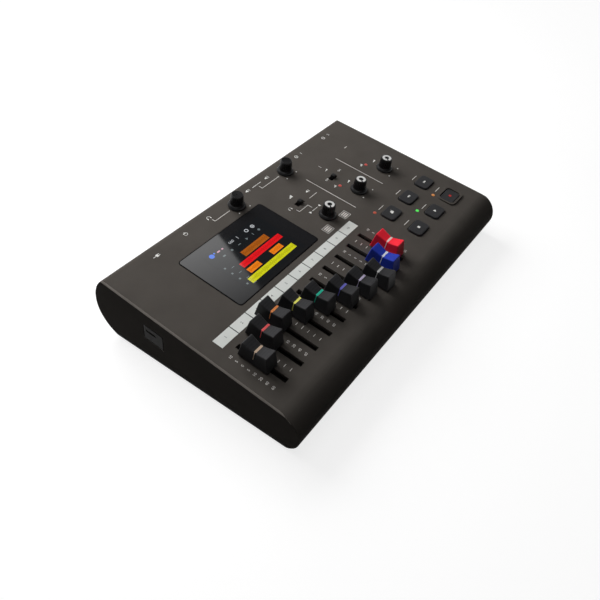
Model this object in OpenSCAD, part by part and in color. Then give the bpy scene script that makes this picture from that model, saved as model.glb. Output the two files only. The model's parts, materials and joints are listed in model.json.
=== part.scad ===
// Desktop multitrack recorder: wedge case, ten faders, five knobs, six keys and a display.
// The panel slopes down to the front. Panel places are given as x from the centre line
// and y from the rear top edge, negative to the front, with z up from the panel.

/* [Case] */
// Width of the case over its two ends
body_w = 257; // [250:1:300]
// Depth of the case from rear bulge to nose
body_d = 162; // [160:1:200]
// Height of the rear top edge above the table
rear_h = 50; // [48:0.5:60]
// Slope of the control panel in degrees
tilt = 7; // [5:0.5:8]
// How far the rear swells behind the top edge
rear_bulge = 11.9; // [10:0.1:14]
// Radius of the lower rear corner
rear_low_r = 22; // [20:0.5:26]
// Rounding of the rear top edge
edge_r = 2; // [1:0.1:3]
// Wall of the case shells
wall = 2.5; // [2:0.1:3]
// Height of the lower shell
lower_h = 5; // [4:0.1:7]
// Chamfer along the panel's two end edges
top_chamfer = 1; // [0.5:0.1:1.5]
// Chamfer along the lower end edges
low_chamfer = 2; // [1:0.1:3]
// How far the feet stand out of the underside
foot_proud = 1; // [0.5:0.1:3]

/* [Faders] */
// Spacing of the faders
fader_pitch = 14.33; // [13:0.01:14.6]
// Place of the first fader from the case's left end
fader_first = 18.5; // [17:0.1:24]
// Middle of the fader travel from the rear top edge, as a share of the depth
fader_share = 0.683; // [0.67:0.001:0.7]
// Lever travel from end to end
fader_travel = 30; // [20:1:30]
// Width of the panel slots
slot_w = 3.4; // [2:0.1:4]
// Thickness of the lever blade
lever_t = 1.2; // [0.8:0.1:1.4]
// Length of the lever blade along the travel
lever_l = 4; // [3:0.1:5]
// Fader cap length at its foot
cap_l = 22; // [18:0.5:22]
// Fader cap length at its top
cap_top_l = 17.4; // [14:0.2:18]
// Fader cap width at its foot
cap_w = 10; // [8:0.1:10.5]
// Fader cap width at its top
cap_top_w = 8.6; // [7:0.1:9]
// Height of the cap's two raised ends
cap_h = 12.5; // [11:0.1:14]
// Depth of the finger saddle
cap_saddle = 2.3; // [0.5:0.1:2.5]

/* [Knobs and keys] */
// Diameter of the knob skirts
knob_d = 13; // [11:0.5:14]
// Diameter of the knob tops
knob_top_d = 8.6; // [8:0.1:10]
// Height of the knob tops above the panel
knob_h = 10.2; // [9:0.1:14]
// Diameter of the potentiometer shafts
shaft_d = 6; // [5:0.1:6.2]
// Key cap width
key_w = 14.8; // [12:0.1:16]
// Key cap depth
key_l = 10.8; // [9:0.1:11.5]
// Corner radius of the key caps
key_r = 2.4; // [1:0.1:3]
// How far the keys stand out of the panel
key_proud = 1.3; // [1:0.1:2]
// Key travel
key_travel = 0.8; // [0.3:0.1:1]
// Diameter of the indicator lights
led_d = 2.5; // [2:0.1:3]

/* [Display and strip] */
// Width of the display glass
glass_w = 81; // [78:0.5:84]
// Depth of the display glass
glass_l = 52; // [48:0.5:54]
// Thickness of the display glass
glass_t = 1.2; // [0.8:0.1:1.4]
// Corner radius of the display glass
glass_r = 2; // [1:0.1:4]
// Depth of the label strip
strip_l = 7.6; // [6:0.1:8]
// Thickness of the label strip
strip_t = 0.4; // [0.3:0.1:0.8]

/* [Rear and ends] */
// Depth that the flat socket face lies in front of the rear bulge
bay_depth = 3.9; // [3:0.1:5]
// Width of the case's cheeks beside the socket face
cheek_w = 9; // [8:0.5:12]
// Height of the socket centres above the underside
socket_z = 22; // [21.5:0.5:22.5]
// Bore of the plug sockets
plug_d = 6.5; // [6.35:0.05:6.6]
// Depth of the plug bores
plug_depth = 20; // [15:0.5:21]
// Diameter of the combined input sockets
combo_d = 23.4; // [20:0.2:24]
// Card flap length
flap_l = 15.8; // [14:0.1:18]
// Card flap height
flap_h = 12.6; // [11:0.1:13]
// Card flap thickness
flap_t = 1.6; // [1.2:0.1:2]

/* [Inside] */
// Depth of the circuit board's upper face below the panel
board_deep = 14; // [13.5:0.1:15]
// Thickness of the circuit board
board_t = 1.6; // [1:0.1:2]
// Diameter of a battery cell
cell_d = 14.2; // [13.5:0.1:14.5]
// Length of a battery cell with its nub
cell_l = 50; // [49:0.1:51]
// Running clearance between pieces that move
gap = 0.35; // [0.3:0.05:0.5]
// Clearance of pieces that are pushed onto each other
push_fit = 0.02; // [0.01:0.01:0.05]
// Radial clearance of a turning shaft
run_fit = 0.05; // [0.02:0.01:0.1]

/* [Hidden] */
$fn = 48;
// Reach of a cut past the face that it opens
eps = 1;
// Size of a cutting block larger than the case
big = 400;

// The layout spreads with the case: its places are shares of half the width and of the depth
function across(share) = share * body_w / 2;
function along(share) = share * body_d;
function on_layout(p) = [across(p[0]), along(p[1])];

// Outline of the case in the Y and Z plane
rear_y = body_d / 2;
edge_y = rear_y - rear_bulge;
waist_z = foot_proud + rear_low_r;
rear_up_r = (rear_bulge ^ 2 + (rear_h - waist_z) ^ 2) / (2 * rear_bulge);
nose_r = ((rear_h - foot_proud) * cos(tilt) - (edge_y + rear_y) * sin(tilt)) / (1 + cos(tilt) - sin(tilt));
split_z = foot_proud + lower_h;
bay_y = rear_y - bay_depth;
bay_half_w = body_w / 2 - cheek_w;
floor_z = foot_proud + wall;
end_x = body_w / 2;

// Faders
first_x = -end_x + fader_first;
fader_mid = along(fader_share);
slot_spare = 2;
slot_l = fader_travel + lever_l + slot_spare;
cap_lift = 0.6;
cap_flat = 1.6;
lever_top = 7.5;
frame_spare = 15;
frame_l = fader_travel + frame_spare;
frame_w = 9;
frame_h = 9;
groove_deep = 6;
frame_top = -board_deep + frame_h;
lever_clear = 1;
lever_foot = frame_top - groove_deep + lever_clear;
// Rest places of the fader caps along their travel, as shares of it from the front end
fader_set = [0.61, 0.83, 0.99, 0.79, 0.58, 0.32, 0.16, 0.0, 0.17, 0.34];
fader_n = len(fader_set);
// The last two faders, for the click and the mix, have coloured caps
last_colors = ["mediumblue", "crimson"];
cap_colors = concat([for (i = [1:fader_n - len(last_colors)]) "dimgray"], last_colors);

// Knobs, with their places as shares
knob_names = ["phones", "output", "balance", "gain_1", "gain_2"];
knob_share = [[-0.139, -0.077], [0.297, -0.077], [0.157, -0.401], [0.473, -0.404], [0.765, -0.404]];
knob_pos = [for (p = knob_share) on_layout(p)];
skirt_h = 1.6;
knob_lift = 0.6;
neck_d = 9.8;
shaft_top = 8;
pot_w = 9.5;
pot_l = 11;
pot_h = 6.5;
bush_d = 8;
skirt_slope = 0.6;
pot_floor = 2;
shaft_foot = -board_deep + pot_floor;

// Keys in three columns and two rows
key_x_share = [0.430, 0.626, 0.822];
key_y_share = [-0.606, -0.747];
key_names = ["click", "rewind", "forward", "stop", "play", "record"];
key_pos = [for (y = key_y_share) for (x = key_x_share) on_layout([x, y])];
record_i = len(key_pos) - 1;
key_gap = 0.5;
key_lip = 0.8;
key_lip_t = 1;
key_stem_d = 4;
tact_w = 6;
tact_h = 4.3;
tact_pin_d = 3.4;
tact_pin_h = 1.5;
key_stem_foot = -board_deep + tact_h + tact_pin_h + key_travel + gap;
frame_rim = 1.6;
frame_proud = 1.2;
record_sink = 0.5;

// Lights, and the two panel switches
led_share = [[0.426, -0.324], [0.715, -0.323], [0.367, -0.547], [0.562, -0.683], [0.760, -0.683]];
led_pos = [for (p = led_share) on_layout(p)];
led_proud = 0.3;
switch_share = [[0.130, -0.263], [0.461, -0.264]];
switch_pos = [for (p = switch_share) on_layout(p)];
nub_w = 3.4;
nub_l = 3;
nub_proud = 2.6;
nub_travel = 4;
plate_t = 1;
switch_w = 13;
switch_l = 6;
switch_h = 6;

// Display and strip
glass_share = [-0.353, -0.301];
glass_x = across(glass_share[0]);
glass_y = along(glass_share[1]);
glass_proud = 0.2;
glass_groove = 0.6;
view_w = 58;
view_l = 43;
module_w = 68;
module_l = 49;
module_t = 3;
post_d = 4;
strip_share = -0.517;
strip_y = along(strip_share);
strip_proud = 0.1;
strip_length = fader_n * fader_pitch;

// Rear sockets from left to right
usb_share = -0.706;
power_share = -0.494;
plug_share = [-0.321, -0.078, 0.148];
combo_share = [0.497, 0.775];
usb_x = across(usb_share);
power_x = across(power_share);
plug_x = [for (x = plug_share) across(x)];
combo_x = [for (x = combo_share) across(x)];
plug_ring_d = 11.2;
plug_box = [13, 22, 13];
combo_box = [25, 22, 23];
socket_proud = 0.8;
pin_hole_d = 2.6;
pin_hole_r = 7.6;
pin_hole_deep = 10;
pin_angles = [90, 210, 330];
usb_w = 9;
usb_h = 3.3;
usb_deep = 8;
usb_shell = 0.35;
usb_tongue = [6.6, 5, 0.7];
power_nub = [4, 1.6, 3];
power_box = [14, 6, 7];
plate_over = 2;

// Card flap and socket on the left end
flap_share = -0.264;
flap_y = along(flap_share);
flap_z = -18.3;
card_box = [24, 14, 4];
card_w = 11.6;
card_t = 1.2;
card_deep = 16;
nail_notch = [8, 1.6, 0.6];
nail_at = [2, 2];

// Board, feet, screws and cells
board_side = 11.2;
board_half_w = end_x - board_side;
board_rear = 9;
board_margin = 1;
board_front = fader_mid + frame_l / 2 + board_margin;
notch_x0 = combo_x[0] - combo_box[0] / 2 - board_margin;
notch_x1 = combo_x[1] + combo_box[0] / 2 + board_margin;
notch_l = 26;
boss_d = 6;
boss_x_share = [-0.716, -0.218, 0.265];
boss_y_share = [-0.235, -0.654];
boss_pos = [for (x = boss_x_share) for (y = boss_y_share) on_layout([x, y])];
foot_d = 13;
foot_sink = 0.6;
foot_side = 20;
foot_rear = 22;
foot_front = 24;
foot_x = end_x - foot_side;
foot_y = [edge_y - foot_rear, -rear_y + foot_front];
screw_d = 3;
screw_head_d = 5.6;
screw_head_h = 1.8;
screw_l = 12;
screw_slot = [3, 0.8, 0.9];
column_d = 6.4;
screw_side = 6.9;
screw_rear = 6;
screw_front = 13;
screw_x = end_x - screw_side;
screw_y = [edge_y - screw_rear, -rear_y + screw_front];
cell_share = 0.463;
cell_y = edge_y - along(cell_share);
cell_gap = 0.6;
cell_z = floor_z + gap + cell_d / 2;
cell_tip_d = 5.4;
cell_tip_l = 1;
contact_t = 0.6;
bay_wall = 1.5;
bay_in_w = 2 * cell_l + 2 * contact_t;
bay_in_l = 2 * cell_d + cell_gap + 2 * gap;
bay_top = cell_z + cell_d / 2 + gap;
door_w = bay_in_w - 2 * gap;
door_l = bay_in_l - 2 * gap;

fader_nodes = [for (i = [1:fader_n]) str("fader_cap_", i)];
lever_nodes = [for (i = [1:fader_n]) str("fader_lever_", i)];
knob_nodes = [for (n = knob_names) str("knob_", n)];
shaft_nodes = [for (n = knob_names) str("shaft_", n)];
key_nodes = [for (n = key_names) str("key_", n)];
switch_nodes = ["switch_1", "switch_2"];

// Points of an arc from angle a0 to angle a1
function arc(c, r, a0, a1, n = 20) =
  [for (i = [0:n]) let (a = a0 + (a1 - a0) * i / n) c + r * [cos(a), sin(a)]];

// Points of a small curve from p to q, drawn towards the corner c
function blend(p, c, q, n = 4) =
  [for (i = [0:n]) let (u = i / n) (1 - u) ^ 2 * p + 2 * u * (1 - u) * c + u ^ 2 * q];

// Case outline moved in by a wall: lower rear, upper rear, rear edge and nose
function case_outline(inset = 0) =
  let (low_c = [rear_y - rear_low_r, waist_z])
  let (up_c = [rear_y - rear_up_r, waist_z])
  let (up_r = rear_up_r - inset)
  let (rise = [-sin(tilt), cos(tilt)] * ([edge_y, rear_h] - up_c))
  let (meet = tilt + asin((rise - inset) / up_r))
  let (corner = up_c + up_r * [cos(meet), sin(meet)])
  let (back_off = meet - edge_r / up_r * 180 / PI)
  let (before = up_c + up_r * [cos(back_off), sin(back_off)])
  let (after = corner - edge_r * [cos(tilt), sin(tilt)])
  let (nose_c = [-rear_y + nose_r, foot_proud + nose_r])
  concat(
    arc(low_c, rear_low_r - inset, -90, 0),
    arc(up_c, up_r, 0, back_off, 16),
    blend(before, corner, after),
    arc(nose_c, nose_r - inset, 90 + tilt, 270));

// Fader x place, and y place of a cap at rest
function fader_x(i) = first_x + fader_pitch * i;
function fader_y(i) = -fader_mid - fader_travel / 2 + fader_travel * fader_set[i];

// Places children on the sloping panel
module on_panel() {
  translate([0, edge_y, rear_h]) rotate([tilt, 0, 0]) children();
}

// Extrudes a Y and Z outline along X, centred
module along_x(w) {
  rotate([90, 0, 90]) linear_extrude(w, center = true) children();
}

// Cylinder that points to the rear, from y0 to y1
module rearward(d, y0, y1) {
  translate([0, y0, 0]) rotate([-90, 0, 0]) cylinder(d = d, h = y1 - y0);
}

// Block centred in X and Y between two heights
module slab(w, l, z0, z1) {
  translate([-w / 2, -l / 2, z0]) cube([w, l, z1 - z0]);
}

// Slab with round corners
module round_slab(w, l, r, z0, z1) {
  translate([0, 0, z0]) linear_extrude(z1 - z0) {
    square([w - 2 * r, l], center = true);
    square([w, l - 2 * r], center = true);
    for (sx = [-1, 1], sy = [-1, 1]) translate([sx * (w / 2 - r), sy * (l / 2 - r)]) circle(r);
  }
}

// Solid wedge of the whole case with its end chamfers
module case_block() {
  difference() {
    along_x(body_w) polygon(case_outline());
    for (s = [-1, 1]) {
      on_panel() translate([s * end_x, 0, 0]) rotate([0, 45, 0])
        cube([top_chamfer * sqrt(2), big, top_chamfer * sqrt(2)], center = true);
      translate([s * end_x, 0, foot_proud]) rotate([0, 45, 0])
        cube([low_chamfer * sqrt(2), big, low_chamfer * sqrt(2)], center = true);
    }
  }
}

// Hollow inside the case, which ends before the flat socket face
module case_hollow() {
  difference() {
    along_x(body_w - 2 * wall) polygon(case_outline(wall));
    translate([-bay_half_w - wall, bay_y - wall, 0]) cube([2 * (bay_half_w + wall), big, big]);
  }
}

// Flat face cut into the swollen rear
module bay_cut() {
  translate([-bay_half_w, bay_y, 0]) cube([2 * bay_half_w, big, big]);
}

// Space above a height
module above(z) {
  translate([-big / 2, -big / 2, z]) cube([big, big, big]);
}

// Puts children at the screw places
module at_screws() {
  for (s = [-1, 1], y = screw_y) translate([s * screw_x, y, 0]) children();
}

// Puts children at the socket height, on the flat rear face
module at_socket(x) {
  translate([x, bay_y, foot_proud + socket_z]) children();
}

// Screw columns of the upper shell, from the seam to the roof
module screw_columns() {
  intersection() {
    case_block();
    at_screws() translate([0, 0, split_z]) cylinder(d = column_d, h = big);
  }
}

// Screw pillars of the lower shell, from the underside to the seam
module screw_pillars() {
  intersection() {
    case_block();
    at_screws() cylinder(d = column_d, h = split_z);
  }
}

// Puts children at the foot places
module at_feet() {
  for (s = [-1, 1], y = foot_y) translate([s * foot_x, y, 0]) children();
}

// Puts children at the middle of the label strip
module at_strip() {
  on_panel() translate([first_x + (fader_n - 1) * fader_pitch / 2, strip_y, 0]) children();
}

// Holes in the panel for faders, shafts, keys, lights, switches, glass and strip
module panel_cuts() {
  for (i = [0:fader_n - 1])
    translate([fader_x(i), -fader_mid, 0]) slab(slot_w, slot_l, -wall - eps, eps);
  for (p = knob_pos) translate([p[0], p[1], -wall - eps]) cylinder(d = shaft_d + 2 * gap, h = wall + 2 * eps);
  for (p = key_pos) translate(p)
    round_slab(key_w + 2 * key_gap, key_l + 2 * key_gap, key_r + key_gap, -wall - eps, frame_proud + eps);
  for (p = led_pos) translate([p[0], p[1], -wall - eps]) cylinder(d = led_d + 2 * push_fit, h = wall + 2 * eps);
  for (p = switch_pos) translate(p)
    slab(nub_w + nub_travel + 2 * gap, nub_l + 2 * gap, -wall - eps, eps);
  translate([glass_x, glass_y, 0]) {
    round_slab(glass_w + 2 * glass_groove, glass_l + 2 * glass_groove, glass_r + glass_groove,
               glass_proud - glass_t, eps);
    slab(view_w + 2 * gap, view_l + 2 * gap, -wall - eps, eps);
  }
}

// Openings in the flat rear face
module rear_cuts() {
  for (x = plug_x) at_socket(x) rearward(plug_ring_d + 2 * gap, -wall - eps, eps);
  for (x = combo_x) at_socket(x) rearward(combo_d + 2 * gap, -wall - eps, eps);
  at_socket(usb_x) slab(usb_w + 2 * gap, 2 * (wall + eps), -usb_h / 2 - gap, usb_h / 2 + gap);
  at_socket(power_x)
    slab(power_nub[0] + nub_travel + 2 * gap, 2 * (wall + eps),
         -power_nub[2] / 2 - gap, power_nub[2] / 2 + gap);
}

// Opening of the card flap in the left end
module flap_cut() {
  on_panel() translate([-end_x + wall / 2, flap_y, flap_z])
    slab(wall + 2 * eps, flap_l + 2 * gap, -flap_h / 2 - gap, flap_h / 2 + gap);
}

// Raised rim round the record key
module record_rim() {
  translate(key_pos[record_i])
    round_slab(key_w + 2 * (key_gap + frame_rim), key_l + 2 * (key_gap + frame_rim), key_r + frame_rim,
               -wall, frame_proud);
}

module upper_case() {
  color([0.28, 0.26, 0.25]) difference() {
    union() {
      difference() {
        case_block();
        case_hollow();
      }
      screw_columns();
      on_panel() record_rim();
    }
    bay_cut();
    translate([0, 0, split_z - big]) above(0);
    on_panel() panel_cuts();
    at_strip() slab(strip_length + 2 * push_fit, strip_l + 2 * push_fit, strip_proud - strip_t, eps);
    rear_cuts();
    flap_cut();
    at_screws() cylinder(d = screw_d + 2 * push_fit, h = foot_proud + screw_head_h + screw_l + eps);
  }
}

// Walls and roof of the battery bay
module battery_box() {
  translate([0, cell_y, 0]) difference() {
    slab(bay_in_w + 2 * bay_wall, bay_in_l + 2 * bay_wall, foot_proud, bay_top + bay_wall);
    slab(bay_in_w, bay_in_l, foot_proud - eps, bay_top);
  }
}

// Pillars that carry the circuit board
module board_pillars() {
  intersection() {
    case_block();
    on_panel() for (p = boss_pos) translate([p[0], p[1], -board_deep - board_t - big])
      cylinder(d = boss_d, h = big);
  }
}

module lower_case() {
  color([0.1, 0.1, 0.1]) difference() {
    union() {
      difference() {
        case_block();
        case_hollow();
        above(split_z);
      }
      screw_pillars();
      board_pillars();
      battery_box();
    }
    translate([0, cell_y, 0]) slab(bay_in_w, bay_in_l, foot_proud - eps, bay_top);
    at_feet() cylinder(d = foot_d + 2 * push_fit, h = foot_proud + foot_sink);
    at_screws() {
      cylinder(d = screw_d + 2 * gap, h = split_z + eps);
      cylinder(d = screw_head_d + 2 * gap, h = foot_proud + screw_head_h);
    }
  }
}

module label_strip() {
  color([0.84, 0.85, 0.83]) at_strip() slab(strip_length, strip_l, strip_proud - strip_t, strip_proud);
}

module display_glass() {
  color([0.14, 0.14, 0.15]) on_panel() translate([glass_x, glass_y, 0])
    round_slab(glass_w, glass_l, glass_r, glass_proud - glass_t, glass_proud);
}

// Display on four posts, with its view face under the glass
module display_module() {
  body_top = -wall - gap;
  color("slategray") on_panel() translate([glass_x, glass_y, 0]) {
    slab(view_w, view_l, body_top - module_t / 2, glass_proud - glass_t - push_fit);
    slab(module_w, module_l, body_top - module_t, body_top);
    for (sx = [-1, 1], sy = [-1, 1])
      translate([sx * (module_w / 2 - post_d), sy * (module_l / 2 - post_d), -board_deep])
        cylinder(d = post_d, h = board_deep + body_top - module_t / 2);
  }
}

// Circuit board parallel to the panel, cut away round the input sockets
module main_board() {
  color("darkgreen") on_panel() difference() {
    translate([-board_half_w, -board_front, -board_deep - board_t])
      cube([2 * board_half_w, board_front - board_rear, board_t]);
    translate([notch_x0, -notch_l, -board_deep - board_t - eps])
      cube([notch_x1 - notch_x0, notch_l, board_t + 2 * eps]);
  }
}

// Slide potentiometer bodies with a groove for the lever
module fader_frames() {
  color("gainsboro") on_panel() for (i = [0:fader_n - 1]) translate([fader_x(i), -fader_mid, 0])
    difference() {
      slab(frame_w, frame_l, -board_deep, frame_top);
      slab(lever_t + 2 * gap, slot_l, frame_top - groove_deep, frame_top + eps);
    }
}

module fader_lever(i) {
  color("silver") on_panel() translate([fader_x(i), fader_y(i), 0])
    slab(lever_t, lever_l, lever_foot, lever_top);
}

// Side outline of a fader cap: sloped ends and a saddle for the finger
function cap_side() =
  let (dip = cap_h - cap_saddle)
  [[-cap_l / 2, cap_lift], [cap_l / 2, cap_lift], [cap_top_l / 2, cap_h],
   [cap_flat / 2, dip], [-cap_flat / 2, dip], [-cap_top_l / 2, cap_h]];

// End outline of a fader cap, carried on below its foot
function cap_end() =
  let (lean = (cap_w - cap_top_w) / (cap_h - cap_lift) / 2)
  [[-cap_w / 2 - lean * eps, cap_lift - eps], [cap_w / 2 + lean * eps, cap_lift - eps],
   [cap_top_w / 2 - lean * eps, cap_h + eps], [-cap_top_w / 2 + lean * eps, cap_h + eps]];

module fader_cap(i) {
  color(cap_colors[i]) on_panel() translate([fader_x(i), fader_y(i), 0]) difference() {
    intersection() {
      along_x(cap_w + 2 * eps) polygon(cap_side());
      rotate([90, 0, 0]) linear_extrude(cap_l + 2 * eps, center = true) polygon(cap_end());
    }
    slab(lever_t + 2 * push_fit, lever_l + 2 * push_fit, cap_lift - eps, lever_top + push_fit);
  }
}

// Rotary potentiometer bodies with their bushes
module pot_bodies() {
  color("steelblue") on_panel() for (p = knob_pos) translate(p) difference() {
    union() {
      slab(pot_w, pot_l, -board_deep, -board_deep + pot_h);
      translate([0, 0, -board_deep + pot_h / 2]) cylinder(d = bush_d, h = board_deep - pot_h / 2 - wall - gap);
    }
    translate([0, 0, shaft_foot - gap]) cylinder(d = shaft_d + 2 * run_fit, h = board_deep);
  }
}

module pot_shaft(i) {
  color("silver") on_panel() translate([knob_pos[i][0], knob_pos[i][1], shaft_foot])
    cylinder(d = shaft_d, h = shaft_top - shaft_foot);
}

// Skirted knob, turned, with a blind bore for its shaft
module knob(i) {
  bore_r = shaft_d / 2 + push_fit;
  skirt_top = knob_lift + skirt_h;
  color([0.06, 0.06, 0.06]) on_panel() translate(knob_pos[i]) rotate_extrude() polygon([
    [bore_r, knob_lift], [knob_d / 2, knob_lift], [knob_d / 2 - skirt_slope, skirt_top],
    [neck_d / 2, skirt_top + skirt_slope], [knob_top_d / 2, knob_h], [0, knob_h],
    [0, shaft_top + push_fit], [bore_r, shaft_top + push_fit]]);
}

module tact_switches() {
  color("black") on_panel() for (p = key_pos) translate(p) {
    slab(tact_w, tact_w, -board_deep, -board_deep + tact_h);
    translate([0, 0, -board_deep + tact_h / 2]) cylinder(d = tact_pin_d, h = tact_h / 2 + tact_pin_h);
  }
}

// Key cap with a lip that holds it under the panel and a stem over its switch
module key_cap(i) {
  lip_top = -wall - gap;
  lip_over = 2 * (key_gap + key_lip);
  top = i == record_i ? frame_proud - record_sink : key_proud;
  color([0.13, 0.13, 0.14]) on_panel() translate(key_pos[i]) {
    round_slab(key_w, key_l, key_r, lip_top - key_lip_t, top);
    round_slab(key_w + lip_over, key_l + lip_over, key_r, lip_top - key_lip_t, lip_top);
    translate([0, 0, key_stem_foot]) cylinder(d = key_stem_d, h = lip_top - key_stem_foot);
  }
}

// Bodies of the two panel switches and of the rear power switch
module switch_bodies() {
  color("dimgray") {
    on_panel() for (p = switch_pos) translate(p) slab(switch_w, switch_l, -board_deep, -board_deep + switch_h);
    at_socket(power_x) translate([0, -wall - plate_t - 2 * gap - power_box[1] / 2, 0])
      slab(power_box[0], power_box[1], -power_box[2] / 2, power_box[2] / 2);
  }
}

// Finger nub of a panel switch on a plate that slides under the panel
module switch_nub(i) {
  color([0.05, 0.05, 0.05]) on_panel() translate(switch_pos[i]) {
    slab(nub_w, nub_l, -board_deep + switch_h + gap, nub_proud);
    slab(nub_w + nub_travel + plate_over, nub_l + plate_over, -wall - gap - plate_t, -wall - gap);
  }
}

module power_slider() {
  color([0.05, 0.05, 0.05]) at_socket(power_x) {
    translate([-power_nub[0] / 2, -wall - gap - plate_t, -power_nub[2] / 2])
      cube([power_nub[0], wall + gap + plate_t + power_nub[1], power_nub[2]]);
    translate([0, -wall - gap - plate_t / 2, 0])
      slab(power_nub[0] + nub_travel + plate_over, plate_t,
           -(power_nub[2] + plate_over) / 2, (power_nub[2] + plate_over) / 2);
  }
}

// Card holder under the board, with its slot behind the flap
module card_socket() {
  top = -board_deep - board_t;
  color("silver") on_panel() translate([-end_x + wall + gap + card_box[0] / 2, flap_y, 0]) difference() {
    slab(card_box[0], card_box[1], top - card_box[2], top);
    translate([card_deep / 2 - card_box[0] / 2, 0, top - card_box[2] / 2])
      slab(card_deep, card_w, -card_t / 2, card_t / 2);
  }
}

// Flap over the card slot, with a notch for the fingernail
module card_flap() {
  color([0.12, 0.12, 0.12]) on_panel() translate([-end_x, flap_y, flap_z]) difference() {
    translate([flap_t / 2, 0, 0]) slab(flap_t, flap_l, -flap_h / 2, flap_h / 2);
    translate([0, nail_at[0], nail_at[1]])
      slab(2 * nail_notch[2], nail_notch[0], -nail_notch[1] / 2, nail_notch[1] / 2);
  }
}

// Input sockets that take either plug: a centre bore and three pin holes
module combo_sockets() {
  color([0.08, 0.08, 0.08]) for (x = combo_x) at_socket(x) difference() {
    union() {
      rearward(combo_d, -wall - eps, socket_proud);
      translate([0, -wall - combo_box[1] / 2, 0])
        slab(combo_box[0], combo_box[1], -combo_box[2] / 2, combo_box[2] / 2);
    }
    rearward(plug_d, socket_proud - plug_depth, socket_proud + eps);
    for (a = pin_angles) translate([pin_hole_r * cos(a), 0, pin_hole_r * sin(a)])
      rearward(pin_hole_d, socket_proud - pin_hole_deep, socket_proud + eps);
  }
}

// Headphone socket and the two output sockets
module plug_sockets() {
  color([0.1, 0.1, 0.1]) for (x = plug_x) at_socket(x) difference() {
    union() {
      rearward(plug_ring_d, -wall - eps, socket_proud);
      translate([0, -wall - plug_box[1] / 2, 0])
        slab(plug_box[0], plug_box[1], -plug_box[2] / 2, plug_box[2] / 2);
    }
    rearward(plug_d, socket_proud - plug_depth, socket_proud + eps);
  }
}

// Power and data socket: a thin shell round a tongue
module usb_socket() {
  color("silver") at_socket(usb_x) {
    difference() {
      translate([0, -usb_deep / 2, 0]) slab(usb_w, usb_deep, -usb_h / 2, usb_h / 2);
      translate([0, -usb_deep / 2 + 2 * usb_shell, 0])
        slab(usb_w - 2 * usb_shell, usb_deep, usb_shell - usb_h / 2, usb_h / 2 - usb_shell);
    }
    translate([0, -usb_deep + usb_tongue[1] / 2, 0])
      slab(usb_tongue[0], usb_tongue[1], -usb_tongue[2] / 2, usb_tongue[2] / 2);
  }
}

module rubber_feet() {
  color([0.05, 0.05, 0.05]) at_feet() cylinder(d = foot_d, h = foot_proud + foot_sink);
}

// Screws with a cross recess, sunk into the underside
module case_screws() {
  head_z = foot_proud + gap;
  color("gray") at_screws() difference() {
    union() {
      translate([0, 0, head_z]) cylinder(d = screw_head_d, h = screw_head_h - gap);
      translate([0, 0, foot_proud + screw_head_h / 2]) cylinder(d = screw_d, h = screw_head_h / 2 + screw_l);
    }
    slab(screw_slot[0], screw_slot[1], head_z - eps, head_z + screw_slot[2]);
    slab(screw_slot[1], screw_slot[0], head_z - eps, head_z + screw_slot[2]);
  }
}

// Two rows of two cells, the rows turned end for end
module battery_cells() {
  color("goldenrod") for (row = [-1, 1], end = [-1, 1])
    translate([end * cell_l / 2, cell_y + row * (cell_d + cell_gap) / 2, cell_z]) rotate([0, row * 90, 0])
      translate([0, 0, push_fit - cell_l / 2]) {
        cylinder(d = cell_d, h = cell_l - cell_tip_l - 2 * push_fit);
        cylinder(d = cell_tip_d, h = cell_l - 2 * push_fit);
      }
}

module battery_contacts() {
  color("silver") for (end = [-1, 1]) translate([end * (cell_l + contact_t / 2), cell_y, 0])
    slab(contact_t, bay_in_l - 2 * gap, floor_z + gap, bay_top - gap);
}

module battery_door() {
  color([0.11, 0.11, 0.11]) translate([0, cell_y, 0]) slab(door_w, door_l, foot_proud, floor_z);
}

// Light pipes from the board to the panel
module status_lights() {
  color("orangered") on_panel() for (p = led_pos) translate([p[0], p[1], -board_deep])
    cylinder(d = led_d, h = board_deep + led_proud);
}

upper_case();
lower_case();
label_strip();
display_glass();
display_module();
main_board();
fader_frames();
pot_bodies();
tact_switches();
switch_bodies();
card_socket();
combo_sockets();
plug_sockets();
usb_socket();
rubber_feet();
case_screws();
battery_cells();
battery_contacts();
status_lights();
power_slider();
card_flap();
battery_door();
for (i = [0:fader_n - 1]) {
  fader_cap(i);
  fader_lever(i);
}
for (i = [0:len(knob_pos) - 1]) {
  knob(i);
  pot_shaft(i);
}
for (i = [0:len(key_pos) - 1]) {
  key_cap(i);
}
for (i = [0:len(switch_pos) - 1]) {
  switch_nub(i);
}
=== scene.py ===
# %% [markdown]
# A desktop multitrack recorder, dressed for a studio picture.
# The imported model gives every piece at its real size, in metres, with +X to the user's right,
# +Y to the rear and +Z up. This lesson adds the finish: soft edges, moulded caps and knobs,
# printed marks, a lit display, and a material with grain for every surface, with paler edges on
# some pieces, partly wear and partly a painted highlight.

# %% Load the frame
import json
import math
import bpy
from mathutils import Matrix, Vector


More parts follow.
